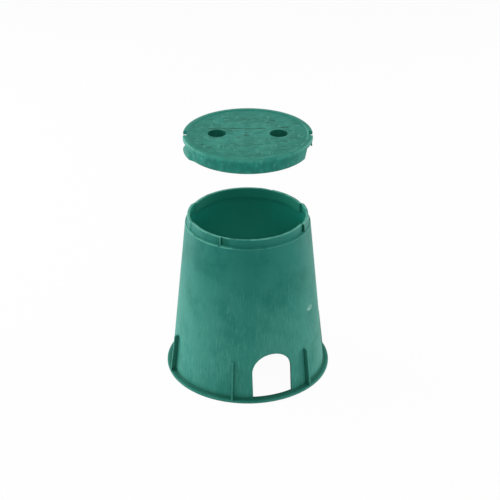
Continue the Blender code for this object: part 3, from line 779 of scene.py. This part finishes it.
def make_tongue(turn):
    """A tongue: a bent bar, drawn in to the skirt behind its bend and cut to a point."""
    heights = (SKIRT_FOOT_HEIGHT, UNDERSIDE + COVER_ROUND)
    bend = LUG_END + GAP_CLEARANCE + TONGUE_SEAT
    tongue = spin_bar(TONGUE_TIP - TONGUE_SPARE + turn, bend + TONGUE_FADE + turn,
                      (TONGUE_RADIUS, TONGUE_OUTER), heights)
    for azimuth in (bend, bend + TONGUE_BEND):
        cut_across(tongue, azimuth + turn, heights[0] - TOLERANCE, heights[1] + TOLERANCE, 0.0, FLANGE_RADIUS)
    joined = SKIRT_FOOT + TONGUE_INSET
    for vert in tongue.verts:
        radius = radius_of(vert.co)
        past_bend = azimuth_in_pair(vert.co, TONGUE_TIP - 2.0 * TONGUE_SPARE) - bend
        if radius < TONGUE_RADIUS + TOLERANCE:
            target = part_way(TONGUE_RADIUS, joined, min(max(past_bend / TONGUE_BEND, 0.0), 1.0))
        else:
            faded = (past_bend - TONGUE_BEND) / (TONGUE_FADE - TONGUE_BEND)
            target = part_way(TONGUE_OUTER, joined + TONGUE_SPREAD, min(max(faded, 0.0), 1.0))
        vert.co.xy *= target / radius
    tip = on_circle(TONGUE_RADIUS, TONGUE_TIP + turn, heights[0])
    root = on_circle(TONGUE_RADIUS, TONGUE_ROOT + turn, heights[1])
    across = on_circle(1.0, (TONGUE_TIP + TONGUE_ROOT) / 2 + turn, 0.0)

    # The plane looks away from the bend, and what it looks at is cleared.
    away = across.cross(root - tip)
    bmesh.ops.bisect_plane(tongue, geom=list(tongue.verts) + list(tongue.edges) + list(tongue.faces),
                           dist=TOLERANCE, plane_co=tip, plane_no=away, clear_outer=True)
    bmesh.ops.contextual_create(tongue, geom=[edge for edge in tongue.edges if edge.is_boundary])
    bmesh.ops.recalc_face_normals(tongue, faces=tongue.faces)
    return make_object(tongue, "tongue")


for turn in (0.0, HALF_ROUND):
    join_or_cut(cover, make_gap_tool(turn), "DIFFERENCE")
    join_or_cut(cover, make_tongue(turn), "UNION")
for side in (-1, 1):
    join_or_cut(cover, make_post((side * FINGER_SPACING / 2, 0.0), FINGER_HOLE / 2, SKIRT_FOOT_HEIGHT,
                                 COVER_HIGH.z + CUT_MARGIN), "DIFFERENCE")
    across = sorted((side * (COVER_RADIUS - NOTCH_DEPTH), side * (COVER_RADIUS + CUT_MARGIN)))
    join_or_cut(cover, make_bar((across[0], -NOTCH_WIDTH / 2, UNDERSIDE - COVER_ROUND),
                                (across[1], NOTCH_WIDTH / 2, COVER_HIGH.z + CUT_MARGIN)), "DIFFERENCE")


# The cover's finish: the same plastic, with a worn grip pattern of short dashes on its top and sink
# marks where the ribs below drew the plate in. The tread is rubbed grey, its hollows and sink marks get
# painted shade, its border gets painted highlights, and the skirt is mottled with fine upright scrapes.
COVER_DEEP_GREEN = "#0f7867"
COVER_EDGE_GREEN = "#087a69"
COVER_GREEN = "#258d7d"
COVER_GREY_GREEN = "#439c8b"
SKIRT_GREEN = "#1f8475"
SKIRT_DEEP_GREEN = "#117062"

# The patterns' real sizes. The dashes are wider than the real ones, so that they show.
DASH_WIDTH = 5.5 * MILLIMETRE
DASH_SIZE = (20.0 * MILLIMETRE, DASH_WIDTH, DASH_WIDTH)
DASH_DEPTH = 0.3 * MILLIMETRE
TICK_SIZE = (3.2 * MILLIMETRE, 16.0 * MILLIMETRE, 3.2 * MILLIMETRE)
CRACKLE_SIZE = 9.0 * MILLIMETRE
SCRAPE_SIZE = (3.0 * MILLIMETRE, 3.0 * MILLIMETRE, 9.0 * MILLIMETRE)
SINK_WIDTH = 1.8 * MILLIMETRE
SINK_LEFT = -52.0 * MILLIMETRE
SINK_RIGHT = 24.0 * MILLIMETRE
SINK_PATCH_SIZE = 9.0 * MILLIMETRE
RUNG_SIZE = (12.0 * MILLIMETRE, 3.0 * MILLIMETRE, 3.0 * MILLIMETRE)
WAVE_SIZE = 14.0 * MILLIMETRE
WAVE_REACH = 4.0 * MILLIMETRE
BORDER_HIGHLIGHT_WIDTH = 1.8 * MILLIMETRE
BORDER_PATCH_SIZE = 14.0 * MILLIMETRE
TREAD_MARGIN = 2.0 * MILLIMETRE
TREAD_EDGE = BORDER_INNER - TREAD_MARGIN

# Noise settings, and the values of a noise or a place between which a pattern comes in.
DASHES = {"Scale": 1.0, "Detail": 2.0, "Roughness": 0.5}
CRACKLES = {"Scale": 1.0 / CRACKLE_SIZE, "Detail": 4.0, "Roughness": 0.6}
SCRAPES = {"Scale": 1.0, "Detail": 3.0, "Roughness": 0.6}
WAVES = {"Scale": 1.0 / WAVE_SIZE, "Detail": 2.0, "Roughness": 0.5}
SINK_PATCHES = {"Scale": 1.0 / SINK_PATCH_SIZE, "Detail": 3.0, "Roughness": 0.5}
RUNGS = {"Scale": 1.0, "Detail": 1.0, "Roughness": 0.5}
BORDER_PATCHES = {"Scale": 1.0 / BORDER_PATCH_SIZE, "Detail": 5.0, "Roughness": 0.6}
TOP_RANGE = {"From Min": PLATE_TOP - MOULD_ROUND, "From Max": PLATE_TOP - MOULD_ROUND / 2}
TREAD_RANGE = {"From Min": TREAD_EDGE, "From Max": TREAD_EDGE - DASH_WIDTH}
DASH_RANGE = {"From Min": 0.62, "From Max": 0.68}
DASH_HOLLOW_RANGE = {"From Min": 0.38, "From Max": 0.32}
TICK_RANGE = {"From Min": 0.64, "From Max": 0.70}
WAVE_RANGE = {"To Min": -WAVE_REACH, "To Max": WAVE_REACH}
SINK_LEFT_RANGE = {"From Min": SINK_LEFT, "From Max": SINK_LEFT + SINK_WIDTH}
SINK_RIGHT_RANGE = {"From Min": SINK_RIGHT, "From Max": SINK_RIGHT - SINK_WIDTH}
BACK_SINK_RANGE = {"From Min": SINK_WIDTH, "From Max": 0.3 * SINK_WIDTH, "To Max": 0.85}
FRONT_SINK_RANGE = {"From Min": SINK_WIDTH, "From Max": 0.2 * SINK_WIDTH, "To Max": 0.6}
SINK_PATCH_RANGE = {"From Min": 0.40, "From Max": 0.56}
RUNG_WIDTH_RANGE = {"From Min": 3.0 * SINK_WIDTH, "From Max": SINK_WIDTH, "To Max": 0.8}
RUNG_END_RANGE = {"From Min": RIB_ROW, "From Max": 0.9 * RIB_ROW}
RUNG_RANGE = {"From Min": 0.50, "From Max": 0.42}
MOTTLE_RANGE = {"From Min": 0.38, "From Max": 0.60}
GREY_RANGE = {"From Min": 0.42, "From Max": 0.66, "To Max": 0.75}
EDGE_RANGE = {"From Min": 0.6 * TREAD_EDGE, "From Max": COVER_RADIUS, "To Max": 0.7}
SKIRT_PATCH_RANGE = {"From Min": 0.40, "From Max": 0.62, "To Max": 0.8}
SCRAPE_RANGE = {"From Min": 0.56, "From Max": 0.68, "To Max": 0.35}
BORDER_PATCH_RANGE = {"From Min": 0.40, "From Max": 0.58}
FRONT_RIGHT_RANGE = {"From Min": 0.4 * BORDER_INNER, "From Max": BORDER_INNER}
BORDER_HIGHLIGHT_RANGE = {"From Min": BORDER_HIGHLIGHT_WIDTH, "From Max": 0.3 * BORDER_HIGHLIGHT_WIDTH, "To Max": 0.8}
COVER_SHEEN = {"To Min": 0.42, "To Max": 0.60}
ADD = {"operation": "ADD"}
MAXIMUM = {"operation": "MAXIMUM"}
# How much painted shade the dash hollows get, and how pale the dashes and ticks are.
HOLLOW_SHADE = 0.75
DASH_PALING = 0.5
TICK_PALING = 0.7

# How much painted shade or painted highlight a place gets, and the most that a hole's wall looks up or down.
HOLE_SHADE = 0.75
UNDERSIDE_SHADE = 0.3
BORDER_EDGE_HIGHLIGHT = 0.3
UPRIGHT = 0.5


def cover_painted_shade(point, normal):
    """Painted shade in the finger holes, which gets darker with depth, and a little under the plate."""
    off_hole = math.hypot(abs(point.x) - FINGER_SPACING / 2, point.y)
    if off_hole < FINGER_HOLE / 2 + TOLERANCE and abs(normal.z) < UPRIGHT:
        return HOLE_SHADE if point.z > UNDERSIDE else FULL_SHADE
    if point.z < UNDERSIDE + TOLERANCE and radius_of(point) < SKIRT_INNER:
        return UNDERSIDE_SHADE
    return UNSHADED


def cover_painted_highlight(point, normal):
    """A painted highlight on the outer corner all round the border."""
    low = COVER_HIGH.z - COVER_ROUND - TOLERANCE
    inner = COVER_RADIUS - COVER_ROUND - TOLERANCE
    return BORDER_EDGE_HIGHLIGHT if point.z > low and radius_of(point) > inner else 0.0


cover_finish, tree, place = start_finish("moulded polyethylene, cover green")
axes = add_node(tree, "ShaderNodeSeparateXYZ", {}, {"Vector": place}).outputs
flat = add_node(tree, "ShaderNodeCombineXYZ", {}, {"X": axes["X"], "Y": axes["Y"]})
from_axis = add_node(tree, "ShaderNodeVectorMath", LENGTH, {0: flat})
on_top = add_node(tree, "ShaderNodeMapRange", SMOOTH, {"Value": axes["Z"], **TOP_RANGE})
within_border = add_node(tree, "ShaderNodeMapRange", SMOOTH, {"Value": from_axis, **TREAD_RANGE})
tread = add_node(tree, "ShaderNodeMath", MULTIPLY, {0: on_top, 1: within_border})

# The grip pattern's dashes, across the top and towards the back, and the hollows between them.
dash_place = add_node(tree, "ShaderNodeVectorMath", DIVIDE, {0: flat, 1: DASH_SIZE})
dashes = add_node(tree, "ShaderNodeTexNoise", {}, {"Vector": dash_place, **DASHES})
tick_place = add_node(tree, "ShaderNodeVectorMath", DIVIDE, {0: flat, 1: TICK_SIZE})
ticks = add_node(tree, "ShaderNodeTexNoise", {}, {"Vector": tick_place, **DASHES})
dash_share = add_node(tree, "ShaderNodeMapRange", SMOOTH, {"Value": dashes, **DASH_RANGE})
tick_share = add_node(tree, "ShaderNodeMapRange", SMOOTH, {"Value": ticks, **TICK_RANGE})
hollow_share = add_node(tree, "ShaderNodeMapRange", SMOOTH, {"Value": dashes, **DASH_HOLLOW_RANGE})
dash = add_node(tree, "ShaderNodeMath", MULTIPLY, {0: dash_share, 1: tread})
tick = add_node(tree, "ShaderNodeMath", MULTIPLY, {0: tick_share, 1: tread})
dash_hollow = add_node(tree, "ShaderNodeMath", MULTIPLY, {0: hollow_share, 1: tread})

# The sink marks over both long ribs wander a little. The back one is one long line, and the front one
# is broken.
waves = add_node(tree, "ShaderNodeTexNoise", {}, {"Vector": flat, **WAVES})
wave = add_node(tree, "ShaderNodeMapRange", {}, {"Value": waves, **WAVE_RANGE})
waved = add_node(tree, "ShaderNodeMath", ADD, {0: axes["Y"], 1: wave})
past_back = add_node(tree, "ShaderNodeMath", SUBTRACT, {0: waved, 1: RIB_ROW})
off_back = add_node(tree, "ShaderNodeMath", ABSOLUTE, {0: past_back})
back_line = add_node(tree, "ShaderNodeMapRange", SMOOTH, {"Value": off_back, **BACK_SINK_RANGE})
past_left = add_node(tree, "ShaderNodeMapRange", SMOOTH, {"Value": axes["X"], **SINK_LEFT_RANGE})
past_right = add_node(tree, "ShaderNodeMapRange", SMOOTH, {"Value": axes["X"], **SINK_RIGHT_RANGE})
along_back = add_node(tree, "ShaderNodeMath", MULTIPLY, {0: past_left, 1: past_right})
back_sink = add_node(tree, "ShaderNodeMath", MULTIPLY, {0: back_line, 1: along_back})
past_front = add_node(tree, "ShaderNodeMath", ADD, {0: waved, 1: RIB_ROW})
off_front = add_node(tree, "ShaderNodeMath", ABSOLUTE, {0: past_front})
front_line = add_node(tree, "ShaderNodeMapRange", SMOOTH, {"Value": off_front, **FRONT_SINK_RANGE})
front_patches = add_node(tree, "ShaderNodeTexNoise", {}, {"Vector": flat, **SINK_PATCHES})
broken = add_node(tree, "ShaderNodeMapRange", SMOOTH, {"Value": front_patches, **SINK_PATCH_RANGE})
front_sink = add_node(tree, "ShaderNodeMath", MULTIPLY, {0: front_line, 1: broken})

# Between them, the sink mark over the middle rib is broken into short rungs.
off_middle = add_node(tree, "ShaderNodeMath", ABSOLUTE, {0: axes["X"]})
off_row = add_node(tree, "ShaderNodeMath", ABSOLUTE, {0: axes["Y"]})
rung_width = add_node(tree, "ShaderNodeMapRange", SMOOTH, {"Value": off_middle, **RUNG_WIDTH_RANGE})
rung_ends = add_node(tree, "ShaderNodeMapRange", SMOOTH, {"Value": off_row, **RUNG_END_RANGE})
ladder = add_node(tree, "ShaderNodeMath", MULTIPLY, {0: rung_width, 1: rung_ends})
rung_place = add_node(tree, "ShaderNodeVectorMath", DIVIDE, {0: flat, 1: RUNG_SIZE})
rung_noise = add_node(tree, "ShaderNodeTexNoise", {}, {"Vector": rung_place, **RUNGS})
rungs = add_node(tree, "ShaderNodeMapRange", SMOOTH, {"Value": rung_noise, **RUNG_RANGE})
middle_sink = add_node(tree, "ShaderNodeMath", MULTIPLY, {0: ladder, 1: rungs})
row_sinks = add_node(tree, "ShaderNodeMath", MAXIMUM, {0: front_sink, 1: back_sink})
all_sinks = add_node(tree, "ShaderNodeMath", MAXIMUM, {0: row_sinks, 1: middle_sink})
sink = add_node(tree, "ShaderNodeMath", MULTIPLY, {0: all_sinks, 1: tread})

# The top's green, mottled, rubbed grey in a crackle and deeper towards its edge.
cloud = add_node(tree, "ShaderNodeTexNoise", {}, {"Vector": place, **CLOUDS})
crackle = add_node(tree, "ShaderNodeTexNoise", {}, {"Vector": place, **CRACKLES})
mottle = add_node(tree, "ShaderNodeMapRange", SMOOTH, {"Value": cloud, **MOTTLE_RANGE})
grey = add_node(tree, "ShaderNodeMapRange", SMOOTH, {"Value": crackle, **GREY_RANGE})
near_edge = add_node(tree, "ShaderNodeMapRange", SMOOTH, {"Value": from_axis, **EDGE_RANGE})
mottled = add_node(tree, "ShaderNodeMix", COLOURS,
                   {"Factor": mottle, "A": COVER_DEEP_GREEN, "B": COVER_GREEN})
greyed = add_node(tree, "ShaderNodeMix", COLOURS, {"Factor": grey, "A": mottled, "B": COVER_GREY_GREEN})
edged = add_node(tree, "ShaderNodeMix", COLOURS, {"Factor": near_edge, "A": greyed, "B": COVER_EDGE_GREEN})

# The skirt's green, in the same crackle and with fine upright scrapes.
skirt_patch = add_node(tree, "ShaderNodeMapRange", SMOOTH, {"Value": crackle, **SKIRT_PATCH_RANGE})
skirt_patched = add_node(tree, "ShaderNodeMix", COLOURS,
                         {"Factor": skirt_patch, "A": SKIRT_DEEP_GREEN, "B": SKIRT_GREEN})
scrape_place = add_node(tree, "ShaderNodeVectorMath", DIVIDE, {0: place, 1: SCRAPE_SIZE})
scrapes = add_node(tree, "ShaderNodeTexNoise", {}, {"Vector": scrape_place, **SCRAPES})
scrape = add_node(tree, "ShaderNodeMapRange", SMOOTH, {"Value": scrapes, **SCRAPE_RANGE})
skirt = add_node(tree, "ShaderNodeMix", COLOURS, {"Factor": scrape, "A": skirt_patched, "B": PALE_WEAR_AND_HIGHLIGHT_GREEN})
topped = add_node(tree, "ShaderNodeMix", COLOURS, {"Factor": on_top, "A": skirt, "B": edged})

# Painted highlight in patches on the border's inner corner at the front right.
past_border = add_node(tree, "ShaderNodeMath", SUBTRACT, {0: from_axis, 1: BORDER_INNER})
off_corner = add_node(tree, "ShaderNodeMath", ABSOLUTE, {0: past_border})
corner_highlight = add_node(tree, "ShaderNodeMapRange", SMOOTH, {"Value": off_corner, **BORDER_HIGHLIGHT_RANGE})
patches = add_node(tree, "ShaderNodeTexNoise", {}, {"Vector": flat, **BORDER_PATCHES})
patchy = add_node(tree, "ShaderNodeMapRange", SMOOTH, {"Value": patches, **BORDER_PATCH_RANGE})
rightwards = add_node(tree, "ShaderNodeMath", SUBTRACT, {0: axes["X"], 1: axes["Y"]})
front_right = add_node(tree, "ShaderNodeMapRange", SMOOTH, {"Value": rightwards, **FRONT_RIGHT_RANGE})
right_patches = add_node(tree, "ShaderNodeMath", MULTIPLY, {0: patchy, 1: front_right})
top_patches = add_node(tree, "ShaderNodeMath", MULTIPLY, {0: right_patches, 1: on_top})
border_highlight = add_node(tree, "ShaderNodeMath", MULTIPLY, {0: corner_highlight, 1: top_patches})
bordered = add_node(tree, "ShaderNodeMix", COLOURS, {"Factor": border_highlight, "A": topped, "B": PALE_WEAR_AND_HIGHLIGHT_GREEN})

# Painted shade in the hollows, pale dashes and painted shade along the sink marks over it all, and the same
# shapes as relief.
hollow_shade = add_node(tree, "ShaderNodeMath", MULTIPLY, {0: dash_hollow, 1: HOLLOW_SHADE})
pale_dash = add_node(tree, "ShaderNodeMath", MULTIPLY, {0: dash, 1: DASH_PALING})
pale_tick = add_node(tree, "ShaderNodeMath", MULTIPLY, {0: tick, 1: TICK_PALING})
hollow_shaded = add_node(tree, "ShaderNodeMix", COLOURS, {"Factor": hollow_shade, "A": bordered, "B": SHADE_GREEN})
dashed = add_node(tree, "ShaderNodeMix", COLOURS, {"Factor": pale_dash, "A": hollow_shaded, "B": PALE_WEAR_AND_HIGHLIGHT_GREEN})
ticked = add_node(tree, "ShaderNodeMix", COLOURS, {"Factor": pale_tick, "A": dashed, "B": PALE_WEAR_AND_HIGHLIGHT_GREEN})
sunk = add_node(tree, "ShaderNodeMix", COLOURS, {"Factor": sink, "A": ticked, "B": SHADE_GREEN})
sheen = add_node(tree, "ShaderNodeMapRange", {}, {"Value": crackle, **COVER_SHEEN})
raised = add_node(tree, "ShaderNodeMath", ADD, {0: dash, 1: tick})
lowered = add_node(tree, "ShaderNodeMath", ADD, {0: dash_hollow, 1: sink})
relief = add_node(tree, "ShaderNodeMath", SUBTRACT, {0: raised, 1: lowered})
complete_finish(tree, place, sunk, sheen, relief, DASH_DEPTH)

finish_piece(cover, cover_finish)
mark_corners(cover, "painted_shade", cover_painted_shade)
mark_corners(cover, "painted_highlight", cover_painted_highlight)
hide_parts("cover")
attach(cover, "cover")


# The setting: a white paper floor that keeps a faint shadow, a white sky that lights it softly, and
# soft lamps at both sides and in front. Its sizes are in metres.
FLOOR_RADIUS = 8.0
FLOOR_SEGMENTS = 96
FLOOR_SHARE = 0.96  # How much of the floor the camera sees as plain white, apart from its shadow.
PAPER = "#e7e7e7"
WHITE = "#ffffff"
SKY_LIGHT = 0.28
LAMP_AIM = (0.0, 0.0, 0.15)
LAMPS = {  # Each lamp's place and side in metres, and its power in watts.
    "left lamp": ((-1.5, -0.3, 0.8), 0.9, 6.5),
    "left back lamp": ((-1.4, 0.7, 0.5), 0.9, 24.0),
    "right lamp": ((1.5, -0.3, 0.8), 0.9, 3.2),
    "right back lamp": ((1.4, 0.7, 0.5), 0.9, 15.2),
    "front lamp": ((0.0, -1.5, 1.3), 0.7, 11.4),
}


def plain_white(tree):
    """How white a surface looks to the camera and in reflections, apart from its light."""
    path = add_node(tree, "ShaderNodeLightPath", {}, {}).outputs
    seen = add_node(tree, "ShaderNodeMath", MAXIMUM, {0: path["Is Camera Ray"], 1: path["Is Glossy Ray"]})
    return add_node(tree, "ShaderNodeMath", MAXIMUM, {0: seen, 1: path["Is Transmission Ray"]})


floor_edit = bmesh.new()
bmesh.ops.create_circle(floor_edit, cap_ends=True, segments=FLOOR_SEGMENTS, radius=FLOOR_RADIUS)
floor = make_object(floor_edit, "floor")
floor_white = bpy.data.materials.new("white paper floor")
floor_white.use_nodes = True
paper = floor_white.node_tree
paper.nodes.clear()
lit = add_node(paper, "ShaderNodeBsdfDiffuse", {}, {"Color": PAPER})
glow = add_node(paper, "ShaderNodeEmission", {}, {"Color": WHITE, "Strength": 1.0})
share = add_node(paper, "ShaderNodeMath", MULTIPLY, {0: plain_white(paper), 1: FLOOR_SHARE})
mixed = add_node(paper, "ShaderNodeMixShader", {}, {0: share, 1: lit, 2: glow})
add_node(paper, "ShaderNodeOutputMaterial", {}, {"Surface": mixed})
floor.data.materials.append(floor_white)

world = bpy.data.worlds.new("white studio")
world.use_nodes = True
sky = world.node_tree
sky.nodes.clear()
strength = add_node(sky, "ShaderNodeMapRange", {},
                    {"Value": plain_white(sky), "To Min": SKY_LIGHT, "To Max": 1.0})
air = add_node(sky, "ShaderNodeBackground", {}, {"Color": WHITE, "Strength": strength})
add_node(sky, "ShaderNodeOutputWorld", {}, {"Surface": air})
bpy.context.scene.world = world

for name, (place, side, power) in LAMPS.items():
    lamp_data = bpy.data.lights.new(name, "AREA")
    lamp_data.size = side
    lamp_data.energy = power
    lamp = bpy.data.objects.new(name, lamp_data)
    lamp.location = place
    lamp.rotation_euler = (Vector(LAMP_AIM) - Vector(place)).to_track_quat("-Z", "Y").to_euler()
    bpy.context.scene.collection.objects.link(lamp)


# The camera: it looks down on the box from in front, as in the photograph. Its place, pitch and lens
# were fitted to the outline there.
CAMERA_DISTANCE = 1.60
CAMERA_HEIGHT = 1.045
CAMERA_PITCH = math.radians(28.58)
CAMERA_LENS = 96.8
CAMERA_SHIFT = 0.0044

camera_data = bpy.data.cameras.new("camera")
camera_data.lens = CAMERA_LENS
camera_data.shift_x = CAMERA_SHIFT
camera = bpy.data.objects.new("camera", camera_data)
camera.location = (0.0, -CAMERA_DISTANCE, CAMERA_HEIGHT)
camera.rotation_euler = (math.pi / 2 - CAMERA_PITCH, 0.0, 0.0)
bpy.context.scene.collection.objects.link(camera)
bpy.context.scene.camera = camera
bpy.context.scene.view_settings.view_transform = "Standard"
